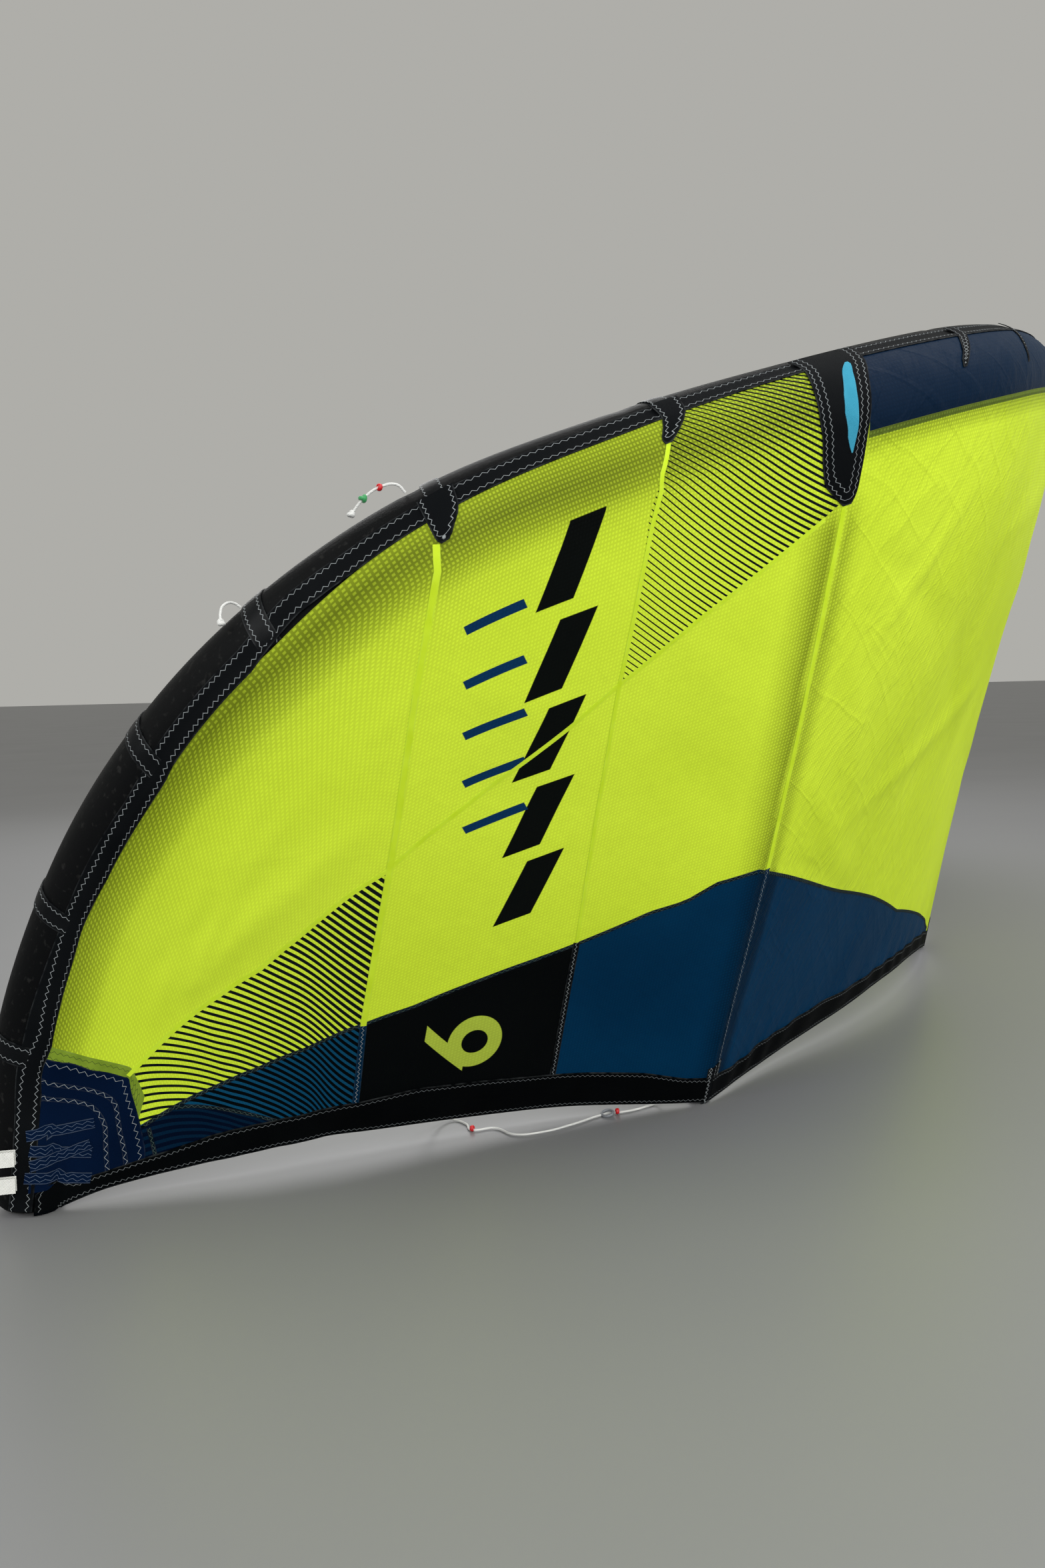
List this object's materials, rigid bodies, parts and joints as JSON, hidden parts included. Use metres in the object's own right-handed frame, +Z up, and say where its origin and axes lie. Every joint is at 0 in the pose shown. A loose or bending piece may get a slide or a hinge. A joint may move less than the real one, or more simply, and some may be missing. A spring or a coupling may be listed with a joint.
{
  "type": "inflated leading-edge kitesurfing kite",
  "caption": "Inflated leading-edge kitesurfing kite standing on its wing tips and strut ends, with bulging lime cloth, black tubes, teal hem panels and a slack bridle line.",
  "frame": {"origin": "on the floor under the middle of the whole kite", "axes": "+X along the span to the kite's right tip as stored, +Y from the bulging outer skin towards the two wing tips, +Z up"},
  "size_m": [4.7702, 1.9034, 1.6316],
  "materials": {
    "canopy": "thin coated ripstop with a fine grid, lime with teal and black zones",
    "tube_black": "heavy smooth woven polyester",
    "strut_black": "heavy smooth woven polyester",
    "strap_black": "woven strip with light grey zigzag stitching",
    "patch_navy": "smooth woven polyester",
    "tape_lime": "matt seam tape with zigzag stitching",
    "inlay_cyan": "smooth, slightly glossy",
    "webbing_white": "ribbed webbing",
    "line_grey": "braided line",
    "bead_red": "moulded bead",
    "ring_grey": "moulded ring"
  },
  "bodies": {
    "root": {"tube_centre": "tube_black", "tube_side_right": "tube_black", "tube_side_left": "tube_black", "tube_tip_right": "tube_black", "tube_tip_left": "tube_black", "panel_centre_right": "canopy", "panel_centre_left": "canopy", "panel_inner_right": "canopy", "panel_inner_left": "canopy", "panel_outer_right": "canopy", "panel_outer_left": "canopy", "panel_tip_right": "canopy", "panel_tip_left": "canopy", "seam_flap_right": "strap_black", "seam_flap_left": "strap_black", "hem_band_right": "strap_black", "hem_band_left": "strap_black", "strut_centre": "strut_black", "strut_side_right": "strut_black", "strut_side_left": "strut_black", "strut_patch_centre": "strap_black", "strut_patch_right": "strap_black", "strut_patch_left": "strap_black", "inlay_right": "inlay_cyan", "inlay_left": "inlay_cyan", "strut_foot_centre": "strap_black", "strut_foot_right": "strap_black", "strut_foot_left": "strap_black", "seam_tab_outer_right": "strap_black", "seam_tab_outer_left": "strap_black", "seam_tab_inner_right": "strap_black", "seam_tab_inner_left": "strap_black", "tip_patch_right": "patch_navy", "tip_patch_left": "patch_navy", "tape_outer_right": "tape_lime", "tape_outer_left": "tape_lime", "tape_inner_right": "tape_lime", "tape_inner_left": "tape_lime", "tape_diagonal_right": "tape_lime", "tape_diagonal_left": "tape_lime", "joint_strap_1_right": "strap_black", "joint_strap_1_left": "strap_black", "joint_strap_2_right": "strap_black", "joint_strap_2_left": "strap_black", "joint_strap_3_right": "strap_black", "joint_strap_3_left": "strap_black", "joint_strap_4_right": "strap_black", "joint_strap_4_left": "strap_black", "webbing_loop_1_right": "webbing_white", "webbing_loop_1_left": "webbing_white", "webbing_loop_2_right": "webbing_white", "webbing_loop_2_left": "webbing_white", "bridle_right": "line_grey", "bridle_left": "line_grey", "pigtail_outer_right": "line_grey", "pigtail_outer_left": "line_grey", "pigtail_inner_right": "line_grey", "pigtail_inner_left": "line_grey"}
  },
  "joints": []
}
